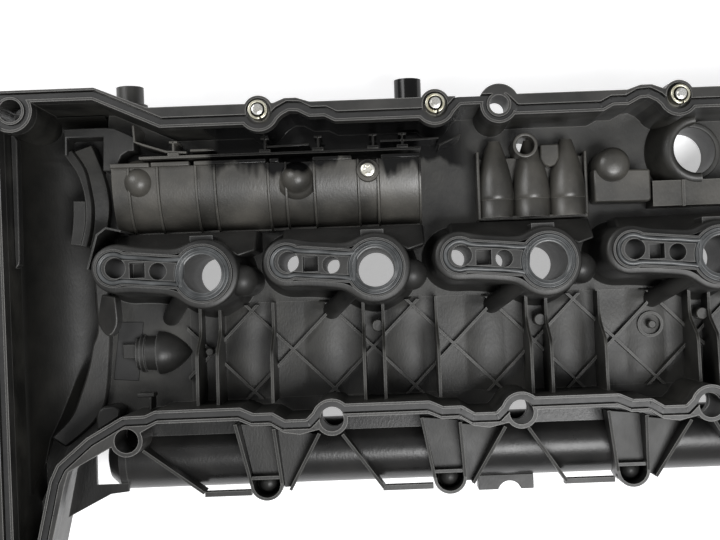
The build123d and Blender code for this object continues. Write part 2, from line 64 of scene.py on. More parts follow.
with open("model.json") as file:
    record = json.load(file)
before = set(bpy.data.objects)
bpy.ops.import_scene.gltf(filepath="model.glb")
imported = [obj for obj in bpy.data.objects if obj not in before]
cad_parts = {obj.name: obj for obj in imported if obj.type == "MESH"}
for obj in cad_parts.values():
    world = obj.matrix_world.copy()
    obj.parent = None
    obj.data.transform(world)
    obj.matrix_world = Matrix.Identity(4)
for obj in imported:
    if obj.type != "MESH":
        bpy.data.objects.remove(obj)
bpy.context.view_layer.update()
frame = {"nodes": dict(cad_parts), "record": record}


# ---------------------------------------------------------------- camera, floor and light

def make_camera():
    data = bpy.data.cameras.new("camera")
    data.lens = 57.2
    data.sensor_width = 36.0
    data.shift_x = -0.0347
    data.shift_y = 0.0417
    data.clip_start = 0.05
    data.clip_end = 20.0
    camera = bpy.data.objects.new("camera", data)
    camera.location = Vector(CAMERA_PLACE) * MM
    camera.rotation_euler = (0, 0, math.radians(-2.15))
    bpy.context.scene.collection.objects.link(camera)
    bpy.context.scene.camera = camera


def make_floor():
    low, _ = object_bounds()
    mesh = bpy.data.meshes.new("floor")
    build = bmesh.new()
    bmesh.ops.create_grid(build, x_segments=2, y_segments=2, size=4.0)
    build.to_mesh(mesh)
    build.free()
    floor = bpy.data.objects.new("floor", mesh)
    floor.location = (0.2, 0, low.z - 0.0002)
    bpy.context.scene.collection.objects.link(floor)
    material = bpy.data.materials.new("floor_white")
    material.use_nodes = True
    shader = material.node_tree.nodes["Principled BSDF"]
    shader.inputs["Base Color"].default_value = (0.93, 0.93, 0.94, 1)
    shader.inputs["Roughness"].default_value = 0.9
    shader.inputs["Emission Color"].default_value = (1, 1, 1, 1)
    shader.inputs["Emission Strength"].default_value = 0.42
    mesh.materials.append(material)


def area_light(name, place, aim, size, power):
    data = bpy.data.lights.new(name, "AREA")
    data.shape = "RECTANGLE"
    data.size, data.size_y = size
    data.energy = power
    light = bpy.data.objects.new(name, data)
    light.location = place
    light.rotation_euler = (Vector(aim) - Vector(place)).to_track_quat("-Z", "Y").to_euler()
    bpy.context.scene.collection.objects.link(light)


def make_light():
    world = bpy.data.worlds.new("studio")
    world.use_nodes = True
    world.node_tree.nodes["Background"].inputs["Color"].default_value = (1, 1, 1, 1)
    world.node_tree.nodes["Background"].inputs["Strength"].default_value = 0.42
    bpy.context.scene.world = world
    area_light("overhead", (0.42, -0.50, 1.25), (0.15, 0, -0.05), (0.7, 0.5), 19)
    area_light("window", (-0.85, 0.55, 0.9), (0.1, 0, -0.05), (0.5, 0.9), 9)
    bpy.context.scene.view_settings.view_transform = "Standard"


# ---------------------------------------------------------------- materials

class Nodes:
    """A material's node tree, with short ways to add what every finish here uses."""

    def __init__(self, name):
        self.material = bpy.data.materials.new(name)
        self.material.use_nodes = True
        self.tree = self.material.node_tree
        self.shader = self.tree.nodes["Principled BSDF"]
        self.place = self.add("ShaderNodeTexCoord").outputs["Object"]

    def add(self, kind, **settings):
        node = self.tree.nodes.new(kind)
        for key, value in settings.items():
            setattr(node, key, value)
        return node

    def link(self, source, target):
        self.tree.links.new(source, target)

    def scaled(self, scale):
        mapping = self.add("ShaderNodeMapping")
        mapping.inputs["Scale"].default_value = scale
        self.link(self.place, mapping.inputs["Vector"])
        return mapping.outputs["Vector"]

    def noise(self, scale, detail=4.0, stretch=(1, 1, 1), rough=0.55):
        node = self.add("ShaderNodeTexNoise")
        node.inputs["Scale"].default_value = scale
        node.inputs["Detail"].default_value = detail
        node.inputs["Roughness"].default_value = rough
        self.link(self.scaled(stretch), node.inputs["Vector"])
        return node.outputs["Fac"]

    def ramp(self, source, low, high):
        node = self.add("ShaderNodeValToRGB")
        node.color_ramp.elements[0].position = low
        node.color_ramp.elements[1].position = high
        self.link(source, node.inputs["Fac"])
        return node.outputs["Color"]

    def math(self, operation, first, second):
        node = self.add("ShaderNodeMath", operation=operation)
        for slot, value in ((0, first), (1, second)):
            if isinstance(value, (int, float)):
                node.inputs[slot].default_value = value
            else:
                self.link(value, node.inputs[slot])
        return node.outputs["Value"]

    def mix(self, share, first, second):
        node = self.add("ShaderNodeMix", data_type="RGBA")
        self.link(share, node.inputs["Factor"])
        for slot, value in ((6, first), (7, second)):
            if isinstance(value, tuple):
                node.inputs[slot].default_value = value
            else:
                self.link(value, node.inputs[slot])
        return node.outputs[2]

    def axis(self, name):
        node = self.add("ShaderNodeSeparateXYZ")
        self.link(self.place, node.inputs["Vector"])
        return node.outputs[name]

    def edges(self, radius, low, high):
        """1 on sharp edges and 0 on flats, from the shape alone."""
        bevel = self.add("ShaderNodeBevel")
        bevel.samples = 4
        bevel.inputs["Radius"].default_value = radius
        flat = self.add("ShaderNodeNewGeometry")
        dot = self.add("ShaderNodeVectorMath", operation="DOT_PRODUCT")
        self.link(bevel.outputs["Normal"], dot.inputs[0])
        self.link(flat.outputs["Normal"], dot.inputs[1])
        return self.ramp(self.math("SUBTRACT", 1.0, dot.outputs["Value"]), low, high)

    def bump(self, height, strength, distance):
        node = self.add("ShaderNodeBump")
        node.inputs["Strength"].default_value = strength
        node.inputs["Distance"].default_value = distance
        self.link(height, node.inputs["Height"])
        self.link(node.outputs["Normal"], self.shader.inputs["Normal"])


def nylon(name, dark, light, edge, rough=0.42, wet_from=None, wet_reach=0.02):
    """Moulded glass-filled nylon: mottled, with fibres, pale edges (part wear, part painted highlight) and,
    towards +Y, oil.
    """
    n = Nodes(name)
    patches = n.noise(38, detail=5)
    colour = n.mix(n.ramp(patches, 0.36, 0.66), dark, light)
    grain = n.noise(950, detail=3, stretch=(1, 0.45, 1))
    speck = n.ramp(n.noise(1500, detail=2), 0.62, 0.74)
    pale = tuple(min(1, c * 1.9) for c in light[:3]) + (1,)
    colour = n.mix(n.math("MULTIPLY", speck, 0.35), colour, pale)
    # Pale edges: some wear, and a painted highlight along every sharp edge.
    wear_and_highlight = n.edges(0.0009, 0.02, 0.22)
    colour = n.mix(n.math("MULTIPLY", wear_and_highlight, 0.8), colour, edge)
    roughness = n.math("ADD", n.math("MULTIPLY", n.noise(60, detail=6), 0.22), rough - 0.1)
    height = grain
    if wet_from is not None:
        drips = n.math("MULTIPLY", n.noise(105, detail=2, stretch=(1, 0.22, 0.4)), wet_reach)
        pools = n.math("MULTIPLY", n.noise(26, detail=1), wet_reach * 1.3)
        level = n.math("ADD", n.math("ADD", n.axis("Y"), drips), pools)
        wet = n.ramp(level, wet_from, wet_from + 0.0016)
        wet = n.math("MULTIPLY", wet, n.ramp(n.axis("X"), WET_X[0] - 0.004, WET_X[0]))
        beyond = n.ramp(n.axis("X"), WET_X[1] - 0.01, WET_X[1])
        wet = n.math("MULTIPLY", wet, n.math("SUBTRACT", 1.0, beyond))
        black = (0.0035, 0.0035, 0.0037, 1)
        # Oil is near-black, with the painted edge highlight faintly over it.
        oil_with_edge_highlight = n.mix(n.math("MULTIPLY", wear_and_highlight, 0.35), black, edge)
        colour = n.mix(wet, colour, oil_with_edge_highlight)
        dry = n.math("SUBTRACT", 1.0, wet)
        roughness = n.math("ADD", n.math("MULTIPLY", roughness, dry), n.math("MULTIPLY", wet, 0.16))
        height = n.math("MULTIPLY", grain, dry)
        sheen = n.math("SUBTRACT", 0.5, n.math("MULTIPLY", wet, 0.22))
        n.link(sheen, n.shader.inputs["Specular IOR Level"])
    n.link(colour, n.shader.inputs["Base Color"])
    n.link(roughness, n.shader.inputs["Roughness"])
    n.shader.inputs["IOR"].default_value = 1.52
    n.shader.inputs["Specular IOR Level"].default_value = 0.36
    n.bump(height, 0.35, 0.00022)
    return n.material


def rubber(name, dark, light, rough):
    """Grey moulded rubber with bloom in large soft patches."""
    n = Nodes(name)
    bloom = n.ramp(n.noise(90, detail=4), 0.38, 0.68)
    colour = n.mix(bloom, dark, light)
    # Lighter edges: a painted highlight on the ridges and lips, with a little wear.
    wear_and_highlight = n.edges(0.0005, 0.02, 0.3)
    colour = n.mix(n.math("MULTIPLY", wear_and_highlight, 0.45), colour, tuple(c * 2.2 for c in light[:3]) + (1,))
    n.link(colour, n.shader.inputs["Base Color"])
    n.link(n.math("ADD", n.math("MULTIPLY", n.noise(300), 0.2), rough - 0.1), n.shader.inputs["Roughness"])
    n.bump(n.noise(1800, detail=2), 0.2, 0.0001)
    return n.material


def steel(name, base, stain, rough, stretch=(1, 1, 0.1)):
    """Plated steel with turning marks and a faint yellow passivation."""
    n = Nodes(name)
    colour = n.mix(n.ramp(n.noise(140, detail=4), 0.42, 0.7), base, stain)
    n.link(colour, n.shader.inputs["Base Color"])
    n.shader.inputs["Metallic"].default_value = 1.0
    marks = n.noise(1600, detail=2, stretch=stretch)
    n.link(n.math("ADD", n.math("MULTIPLY", marks, 0.2), rough - 0.1), n.shader.inputs["Roughness"])
    n.bump(marks, 0.12, 0.00008)
    return n.material


# Pale edge colour of the flange: wear, and a painted highlight line on its lips.
EDGE = (0.26, 0.255, 0.245, 1)
WET_X = (0.0, 0.148)         # oil shows only between these places along X, in metres
FINISHES = {
    "cover_nylon": nylon(
        "moulded_cover", (0.0075, 0.0075, 0.0067, 1), (0.034, 0.033, 0.029, 1), (0.13, 0.128, 0.12, 1),
        wet_from=0.083, wet_reach=0.02),
    # A darker copy of the cover nylon: painted shade for the deep timing bay and the gaps by the brackets.
    "bay_painted_shade_satin": nylon("moulded_painted_shade_bay", (0.0075, 0.0075, 0.0068, 1), (0.0150, 0.0145, 0.0128, 1),
                       (0.03, 0.03, 0.028, 1), rough=0.46),
    "flange_nylon": nylon(
        "moulded_flange", (0.016, 0.016, 0.0155, 1), (0.034, 0.033, 0.031, 1), EDGE, rough=0.38),
    "well_nylon": nylon(
        "moulded_wells", (0.010, 0.010, 0.0097, 1), (0.027, 0.0265, 0.025, 1), (0.17, 0.17, 0.165, 1)),
    "baffle_nylon": nylon(
        "moulded_baffle", (0.030, 0.029, 0.026, 1), (0.070, 0.066, 0.058, 1), (0.16, 0.155, 0.14, 1),
                          rough=0.36, wet_from=0.0755, wet_reach=0.02),
    "tube_nylon": nylon(
        "moulded_tube", (0.007, 0.007, 0.007, 1), (0.0155, 0.015, 0.0145, 1), (0.07, 0.07, 0.067, 1),
                        rough=0.30),
    "bracket_nylon": nylon(
        "moulded_bracket", (0.013, 0.013, 0.0125, 1), (0.027, 0.0265, 0.025, 1), (0.15, 0.15, 0.14, 1)),
    "seal_rubber": rubber("seal_grey", (0.026, 0.028, 0.029, 1), (0.075, 0.079, 0.081, 1), 0.34),
    "edge_rubber": rubber("gasket_black", (0.0045, 0.0045, 0.0045, 1), (0.011, 0.011, 0.011, 1), 0.45),
    "valve_rubber": rubber("valve_black", (0.008, 0.008, 0.008, 1), (0.020, 0.020, 0.020, 1), 0.5),
    "zinc_steel": steel("bolt_zinc", (0.78, 0.78, 0.76, 1), (0.60, 0.58, 0.52, 1), 0.28),
    "sleeve_steel": steel("sleeve_zinc", (0.72, 0.70, 0.58, 1), (0.52, 0.48, 0.33, 1), 0.30),
    "screw_steel": steel("screw_zinc", (0.84, 0.83, 0.76, 1), (0.66, 0.63, 0.52, 1), 0.30),
    "spring_steel": steel("spring_wire", (0.55, 0.55, 0.55, 1), (0.40, 0.40, 0.40, 1), 0.32, (0.1, 1, 1)),
}
SLOT_OF = {part["node"]: part["material_slot"] for part in frame["record"]["subparts"]}


# ---------------------------------------------------------------- mesh tools

def piece(name, verts, faces, slot, smooth=35.0, bevel=0.0, stands_for=(), finish=None):
    """A finished piece of the cover from points in millimetres."""
    mesh = bpy.data.meshes.new(name)
    mesh.from_pydata([Vector(v) * MM for v in verts], [], faces)
    build = bmesh.new()
    build.from_mesh(mesh)
    bmesh.ops.remove_doubles(build, verts=build.verts, dist=0.00001)
    bmesh.ops.recalc_face_normals(build, faces=build.faces)
    build.to_mesh(mesh)
    build.free()
    mesh.materials.append(FINISHES[finish or slot])
    made = bpy.data.objects.new(name, mesh)
    bpy.context.scene.collection.objects.link(made)
    finish_edges(made, bevel, smooth)
    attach(made, "cover")
    if stands_for:
        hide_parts(*stands_for)
    return made


def finish_edges(made, bevel, smooth):
    """Rounds sharp edges by a width in millimetres and shades what is left smooth."""
    if bevel:
        rounding = made.modifiers.new("edge_round", "BEVEL")
        rounding.width = bevel * MM
        rounding.segments = 2
        rounding.limit_method = "ANGLE"
        rounding.angle_limit = math.radians(38)
        rounding.harden_normals = False
    for face in made.data.polygons:
        face.use_smooth = True
    made.data.set_sharp_from_angle(angle=math.radians(smooth))


def join(*shapes):
    """Several (verts, faces) as one."""
    verts, faces = [], []
    for more_verts, more_faces in shapes:
        start = len(verts)
        verts += list(more_verts)
        faces += [[i + start for i in face] for face in more_faces]
    return verts, faces


def shifted(shape, dx=0.0, dy=0.0, dz=0.0):
    verts, faces = shape
    return [(x + dx, y + dy, z + dz) for x, y, z in verts], faces


def box(x0, x1, y0, y1, z0, z1):
    verts = [(x, y, z) for z in (z0, z1) for y in (y0, y1) for x in (x0, x1)]
    faces = [[0, 2, 3, 1], [4, 5, 7, 6], [0, 1, 5, 4], [2, 6, 7, 3], [0, 4, 6, 2], [1, 3, 7, 5]]
    return verts, faces


def slab(outline, low, high):
    """A vertical-sided plate; low and high are numbers or functions of x and y."""
    count = len(outline)
    bottom = [(x, y, low(x, y) if callable(low) else low) for x, y in outline]
    top = [(x, y, high(x, y) if callable(high) else high) for x, y in outline]
    faces = [list(range(count))[::-1], list(range(count, 2 * count))]
    faces += [[i, (i + 1) % count, (i + 1) % count + count, i + count] for i in range(count)]
    return bottom + top, faces


def turned(profile, centre=(0, 0, 0), axis="Z", steps=48, start=0.0, end=360.0):
    """A closed profile of (radius, height) points turned about an axis."""
    full = end - start >= 360
    rows = steps if full else steps + 1
    verts = []
    for i in range(rows):
        angle = math.radians(start + (end - start) * i / steps)
        for radius, height in profile:
            u, v = radius * math.cos(angle), radius * math.sin(angle)
            point = {"Z": (u, v, height), "Y": (v, height, u), "X": (height, u, v)}[axis]
            verts.append(tuple(c + p for c, p in zip(centre, point)))
    width = len(profile)
    faces = []
    for i in range(steps):
        j = (i + 1) % rows
        for k in range(width):
            m = (k + 1) % width
            faces.append([i * width + k, j * width + k, j * width + m, i * width + m])
    if not full:
        faces.append(list(range(width)))
        faces.append([(rows - 1) * width + k for k in range(width)][::-1])
    return verts, faces


def swept(path, section):
    """A section of (side, up) points carried along a path of (x, y, z) points, kept upright."""
    verts = []
    count = len(path)
    for i, point in enumerate(path):
        before = path[i - 1] if i else path[0]
        after = path[min(i + 1, count - 1)]
        way = Vector((after[0] - before[0], after[1] - before[1], 0)).normalized()
        side = Vector((way.y, -way.x, 0))
        for across, up in section:
            verts.append((point[0] + side.x * across, point[1] + side.y * across, point[2] + up))
    width = len(section)
    faces = []
    for i in range(count - 1):
        j = i + 1
        for k in range(width):
            m = (k + 1) % width
            faces.append([i * width + k, j * width + k, j * width + m, i * width + m])
    faces.append(list(range(width))[::-1])
    faces.append([(count - 1) * width + k for k in range(width)])
    return verts, faces


def sheet_grid(x0, x1, columns, y0, y1, rows, height, thick):
    """A closed skin over a rectangle whose top follows height(x, y)."""
    verts, faces = [], []
    for level in (0.0, -thick):
        for j in range(rows + 1):
            for i in range(columns + 1):
                x = x0 + (x1 - x0) * i / columns
                y = y0 + (y1 - y0) * j / rows
                verts.append((x, y, height(x, y) + level))
    width = columns + 1
    under = width * (rows + 1)
    for j in range(rows):
        for i in range(columns):
            a = j * width + i
            faces.append([a, a + 1, a + 1 + width, a + width])
            faces.append([under + a + width, under + a + 1 + width, under + a + 1, under + a])
    for i in range(columns):
        faces.append([i, under + i, under + i + 1, i + 1])
        a = rows * width + i
        faces.append([a + 1, under + a + 1, under + a, a])
    for j in range(rows):
        a = j * width
        faces.append([a + width, under + a + width, under + a, a])
        a += columns
        faces.append([a, under + a, under + a + width, a + width])
    return verts, faces


def curve_points(corners, per_leg):
    """A smooth line through corners (Catmull-Rom)."""
    ends = [corners[0]] + list(corners) + [corners[-1]]
    points = []
    for a, b, c, d in zip(ends, ends[1:], ends[2:], ends[3:]):
        for i in range(per_leg):
            t = i / per_leg
            points.append(tuple(
                0.5 * (2 * q + (r - p) * t + (2 * p - 5 * q + 4 * r - s) * t * t
                       + (3 * q - p - 3 * r + s) * t ** 3)
                for p, q, r, s in zip(a, b, c, d)))
    points.append(tuple(corners[-1]))
    return points


# ---------------------------------------------------------------- CAD nodes that keep their shape

SOFT_EDGE = {
    "cover_shell": 0.5, "sealing_flange": 0.45, "reservoir_web": 0.4, "roof_ribs": 0.3,
    "clip_bracket": 0.5, "filler_neck": 0.6, "vent_stack": 0.5, "front_hose_stub": 0.5, "vent_hose_stub": 0.5,
    "snap_strip": 0.25, "reservoir_cap_front": 0.8, "reservoir_cap_rear": 0.8,
    "regulator_cap": 0.8, "regulator_cup": 0.5, "ball_posts": 0.6, "bolt_sleeves": 0.3,
    "perimeter_gasket": 0.5,
}


def dress_cad_nodes():
    for name, node in frame["nodes"].items():
        slot = SLOT_OF[name]
        node.data.materials.clear()
        node.data.materials.append(FINISHES[slot])
        width = SOFT_EDGE.get(name, 0.4 if name.startswith(("plug_well", "flange_bolt")) else 0.0)
        if width:
            weld = node.modifiers.new("weld", "WELD")
            weld.merge_threshold = 0.000012
            rounding = node.modifiers.new("edge_round", "BEVEL")
            rounding.width = width * MM
            rounding.segments = 2
            rounding.limit_method = "ANGLE"
            rounding.angle_limit = math.radians(42)
            rounding.use_clamp_overlap = True
            rounding.harden_normals = False
            smooth = node.modifiers.new("smooth_faces", "WEIGHTED_NORMAL")
            smooth.keep_sharp = False
            smooth.weight = 100


# ---------------------------------------------------------------- plug wells

def island_outline(grow, smoothing=4):
    """Round a well's island: ring, narrower tail, and a swelling round the injector hole."""
    ring, half, swelling = WELL_RING + grow, TAIL_HALF + grow, TAIL_ROUND + grow
    length = math.hypot(*TAIL_END)
    turn = math.atan2(TAIL_END[1], TAIL_END[0])
    near = math.asin(half / ring)
    far = math.asin(half / swelling)
    local = [(ring * math.cos(a), ring * math.sin(a)) for a in steps_between(near, 2 * math.pi - near, 56)]
    local += straight(local[-1], (length - swelling * math.cos(far), -half), 14)
    local += [(length + swelling * math.cos(a), swelling * math.sin(a))
              for a in steps_between(math.pi + far, 3 * math.pi - far, 36)]
    local += straight(local[-1], local[0], 14)
    for _ in range(smoothing):
        after = local[1:] + local[:1]
        local = [tuple((a + 2 * b + c) / 4 for a, b, c in zip(local[i - 1], local[i], after[i]))
                 for i in range(len(local))]
    cosine, sine = math.cos(turn), math.sin(turn)
    return [(x * cosine - y * sine, x * sine + y * cosine) for x, y in local]


def steps_between(first, last, count):
    return [first + (last - first) * i / count for i in range(count + 1)]


def straight(first, last, count):
    """Points between two ends, without the ends."""
    return [tuple(a + (b - a) * i / count for a, b in zip(first, last)) for i in range(1, count)]


def well_seal(n):
    """The dog-bone seal: a ridged ring round the bore and a wavy loop round the tail."""
    profile = [(10.3, 0.03), (10.35, 0.3), (11.2, 0.4), (11.6, 0.95), (12.0, 1.05), (12.4, 0.95),
               (12.75, 0.3), (13.1, 0.3), (13.4, 0.9), (13.75, 1.0), (14.1, 0.8), (14.35, 0.1),
               (14.35, -3.1), (11.5, -3.1), (11.5, 0.03)]
    ring = turned(profile, steps=72)
    loop = [point for point in island_outline(-2.6) if math.hypot(*point) > 13.3]
    start = min(range(len(loop)), key=lambda i: math.hypot(*loop[i]) + (0 if loop[i][1] < 4 else 50))
    loop = loop[start:] + loop[:start]
    wavy = []
    for i, (x, y) in enumerate(loop):
        away = Vector((x - TAIL_END[0] * 0.5, y - TAIL_END[1] * 0.5)).normalized()
        wave = 0.28 * math.sin(i * 0.55 + n) * (1 if math.hypot(x, y) < 44 else 0.2)
        wavy.append((x + away.x * wave, y + away.y * wave, 0.0))
    strand = [(-1.15, -3.1), (1.15, -3.1), (1.15, 0.2), (0.8, 0.8), (0.25, 1.0), (-0.25, 1.0), (-0.8, 0.8),
              (-1.15, 0.2)]
    shape = shifted(join(ring, swept(wavy, strand)), PITCH * (n - 1))
    piece(f"well_seal_{n}", *shape, "seal_rubber", smooth=50, stands_for=[f"well_gasket_{n}"])


def well_skirt(n):
    """The drafted body under a well's island, with a shoulder and a flared foot."""
    levels = [(0.1, -4.6), (2.2, -4.8), (3.0, -5.4), (3.3, -7.0), (4.2, -30.0), (5.0, -45.0), (6.2, -49.5),
              (9.0, -51.9), (0.1, -51.95)]
    rings = [[(x, y, z) for x, y in island_outline(grow, 10)] for grow, z in levels]
    count = len(rings[0])
    verts = [point for ring in rings for point in ring]
    faces = []
    for k in range(len(rings)):
        m = (k + 1) % len(rings)
        for i in range(count):
            j = (i + 1) % count
            faces.append([k * count + i, k * count + j, m * count + j, m * count + i])
    piece(f"well_skirt_{n}", *shifted((verts, faces), PITCH * (n - 1)), "well_nylon", smooth=50)


def well_fairing(n):
    """The sloping shoulder between a well's island and the separator."""
    outline = [(-50.0, 13.5), (-40.0, 15.0), (-30.0, 12.2), (-17.0, 11.0), (-10.0, 14.5), (0.0, 17.0),
               (10.0, 14.0), (17.5, 9.0), (27.0, 12.0), (27.0, 23.4), (-50.0, 23.4)]
    slope = lambda x, y: -7.5 - 1.45 * (y - 8.0)
    shape = shifted(slab(outline, ROOF - 0.5, slope), PITCH * (n - 1))
    piece(f"well_fairing_{n}", *shape, "well_nylon", bevel=1.2)


# ---------------------------------------------------------------- oil separator

ARCH = [(24.7, -51.6), (24.9, -47.5), (27.3, -42.3), (31.8, -37.4), (38.0, -33.2), (45.0, -30.3),
        (52.5, -28.8), (60.5, -28.5)]


def arch_line(lift, samples=5):
    """The separator cover's arched section, moved outward by a distance."""
    line = curve_points(ARCH, samples)
    moved = []
    for i, (y, z) in enumerate(line):
        before, after = line[max(i - 1, 0)], line[min(i + 1, len(line) - 1)]
        way = Vector((after[0] - before[0], after[1] - before[1])).normalized()
        moved.append((y - way.y * lift, z + way.x * lift))
    return moved


def arch_band(x0, x1, lift, thick=2.2, first=0, last=None):
    """A strip of the cover between two X places, standing out by lift."""
    top = arch_line(lift)[first:last]
    under = arch_line(lift - thick)[first:last]
    outline = top + under[::-1]
    count = len(outline)
    verts = [(x, y, z) for x in (x0, x1) for y, z in outline]
    faces = [[i, (i + 1) % count, (i + 1) % count + count, i + count] for i in range(count)]
    half = len(top)
    for i in range(half - 1):
        a, b, c, d = i, i + 1, count - 2 - i, count - 1 - i
        faces.append([a, b, c, d])
        faces.append([a + count, d + count, c + count, b + count])
    return verts, faces


def dome(x, y, z, radius, flare):
    """A hemisphere with a flared foot."""
    profile = [(0.01, radius)]
    profile += [(radius * math.sin(a), radius * math.cos(a)) for a in steps_between(0.1, 1.35, 14)]
    foot = radius + flare
    profile += [(radius + flare * 0.25, flare * 0.35), (foot, -0.4), (foot, -3.0), (0.01, -3.0)]
    return turned(profile, (x, y, z), steps=48)


def separator_cover():
    """Front oil separator: arched panels between ribs, channels, two domes and a screw boss."""
    panels = [(-52.5, -43.6), (-42.4, -27.6), (-26.4, -6.6), (4.9, 33.0), (59.6, 82.6), (94.8, 116.6)]
    channels = [(-6.6, 4.9), (33.0, 59.6), (82.6, 94.8)]
    shapes = [arch_band(x0, x1, 0.0) for x0, x1 in panels]
    shapes += [arch_band(x0, x1, -1.5) for x0, x1 in channels]
    piece("separator_panels", *join(*shapes), "baffle_nylon", smooth=40, bevel=0.35,
          stands_for=["front_baffle"])
    rib_places = (-43, -27, -6, 4.3, 33.7, 43.4, 59.0, 83.3, 94.1, 117.2)
    ribs = [arch_band(x - 0.65, x + 0.65, 1.3, 3.4) for x in rib_places]
    ribs += [box(-52.5, -5, 24.0, 25.6, -49.5, -46.6), box(-5, 117.6, 24.0, 25.6, -49.5, -46.9)]
    piece("separator_ribs", *join(*ribs), "baffle_nylon", smooth=40, bevel=0.3)
    bars = [box(-52.5, -31, 60.2, 62.6, -31, -26.0), box(-30, -9, 60.2, 62.6, -31, -25.6),
            box(-6.5, 33, 60.2, 62.6, -31, -26.2), box(35, 40, 60.2, 62.6, -31, -26.2),
            box(58.5, 80, 60.2, 62.6, -31, -25.8), box(96, 117.6, 60.2, 62.6, -31, -26)]
    piece("separator_bars", *join(*bars), "baffle_nylon", bevel=0.5)
    domes = join(dome(49.2, 51.8, -31.5, 8.6, 3.2), dome(-38.0, 52.6, -33.5, 8.8, 3.6))
    piece("separator_domes", *domes, "baffle_nylon", smooth=60)
    boss = [(2.1, -40.0), (6.0, -40.0), (6.3, -26.0), (5.9, -25.1), (2.1, -25.1)]
    piece("separator_boss", *turned(boss, (88.7, 54.0, 0.0), steps=40), "baffle_nylon", smooth=45)


def chamber(x, y0, y1, radius, tip, shoulder):
    """A lying bullet-shaped chamber with a fine seam round its barrel."""
    profile = [(0.01, y0)]
    seam = 36.0
    profile += [(radius, y0), (radius, seam - 0.5), (radius - 0.35, seam), (radius, seam + 0.5)]
    for t in steps_between(0.0, 1.0, 16):
        y = shoulder + (y1 - shoulder) * t
        profile.append((tip + (radius - tip) * (1 - t ** 1.7), y))
    profile.append((0.01, y1))
    return turned(profile, (x, 0.0, -43.0), "Y", steps=56)


def cyclones():
    shapes = [chamber(159.5 + 20.2 * i, 26.0, 69.0, 10.4, 3.4, 38.5) for i in range(3)]
    piece("cyclone_chambers", *join(*shapes), "baffle_nylon", smooth=50, stands_for=["cyclone_separator"])
    walls = [box(148.9, 150.6, 25.0, 63.0, ROOF, -35.5), box(209.4, 211.0, 25.0, 62.0, ROOF, -39.0),
             box(149.5, 210.5, 24.5, 27.0, ROOF, -37.8), box(150.0, 209.5, 27.0, 60.0, ROOF, -45.5)]
    piece("cyclone_frame", *join(*walls), "baffle_nylon", bevel=0.5)
    tongue = [(184.8, 66), (184.8, 58), (187.0, 54.4), (190.0, 53.2), (193.0, 54.4), (195.2, 58), (195.2, 66)]
    piece("cyclone_tongue", *slab(tongue, -46.0, -36.5), "baffle_nylon", bevel=0.8)


def pot_cover():
    plate = [(213.2, 32.2), (243.0, 31.6), (244.4, 33.0), (244.2, 49.4), (213.0, 50.4)]
    piece("pot_plate", *slab(plate, -48.0, -31.0), "baffle_nylon", bevel=1.4, stands_for=["pot_baffle"])
    profile = [(0.01, -24.6), (4.0, -24.8), (7.2, -25.8), (9.0, -27.8), (9.6, -31.0),
               (9.9, -51.5), (0.01, -51.5)]
    piece("round_pot", *turned(profile, (223.5, 52.5, 0.0), steps=56), "baffle_nylon", smooth=60)


def star_screw(x, y, top):
    """A pan-head screw with a six-lobed recess."""
    steps = 72
    outer = [(0.0, 0.02), (4.35, 0.02), (4.4, 1.5), (4.0, 2.3), (3.2, 2.65)]
    loops = [[(r * math.cos(a), r * math.sin(a), z) for a in steps_between(0, 2 * math.pi, steps)[:-1]]
             for r, z in outer[1:]]
    for depth, size in ((2.68, 1.0), (1.1, 0.94)):
        loops.append([((1.95 + 0.42 * math.cos(6 * a)) * size * math.cos(a),
                       (1.95 + 0.42 * math.cos(6 * a)) * size * math.sin(a), depth)
                      for a in steps_between(0, 2 * math.pi, steps)[:-1]])
    verts = [(x + px, y + py, top + pz) for loop in loops for px, py, pz in loop]
    faces = [list(range(steps))[::-1]]
    for k in range(len(loops) - 1):
        for i in range(steps):
            j = (i + 1) % steps
            faces.append([k * steps + i, k * steps + j, (k + 1) * steps + j, (k + 1) * steps + i])
    faces.append([(len(loops) - 1) * steps + i for i in range(steps)])
    return verts, faces


def baffle_screw():
    piece("star_screw", *star_screw(88.7, 54.0, -25.1), "screw_steel", smooth=40, stands_for=["baffle_screw"])


# ---------------------------------------------------------------- timing bay

BAY_EDGE = [(-106.0, -150.0), (-103.5, -112.0), (-94.8, -89.0), (-84.3, -76.7), (-78.2, -63.5),
            (-73.2, -49.1), (-70.5, -36.9), (-67.6, -22.0), (-68.6, 2.0), (-72.6, 18.9),
            (-69.7, 30.0), (-70.1, 50.0), (-73.6, 60.2), (-78.0, 68.0), (-62.0, 69.0), (-60.0, 93.0)]


def bay_x(y):
    """X of the bowed rear edge of the timing bay."""
    for (x0, y0), (x1, y1) in zip(BAY_EDGE, BAY_EDGE[1:]):
        if y <= y1:
            return x0 + (x1 - x0) * (y - y0) / (y1 - y0)
    return BAY_EDGE[-1][0]


def bay_height(x, y, left, right):
    """Floor of the bay: swept up into the front wall, the intake wall and the lower rim."""
    sweep_up = 34.0
    near = max(0.0, sweep_up - (x - left))
    rise = sweep_up - math.sqrt(max(0.0, sweep_up ** 2 - near ** 2))
    blend = min(1.0, max(0.0, (-42.0 - y) / 34.0))
    ramp = max(0.0, 26.0 - (right - x)) / 26.0
    rise = max(rise, blend * 17.0 * ramp ** 2.0)
    end = max(0.0, 16.0 - (92.5 - y))
    return BAY_FLOOR + 0.4 + max(rise, 16.0 - math.sqrt(max(0.0, 16.0 ** 2 - end ** 2)))


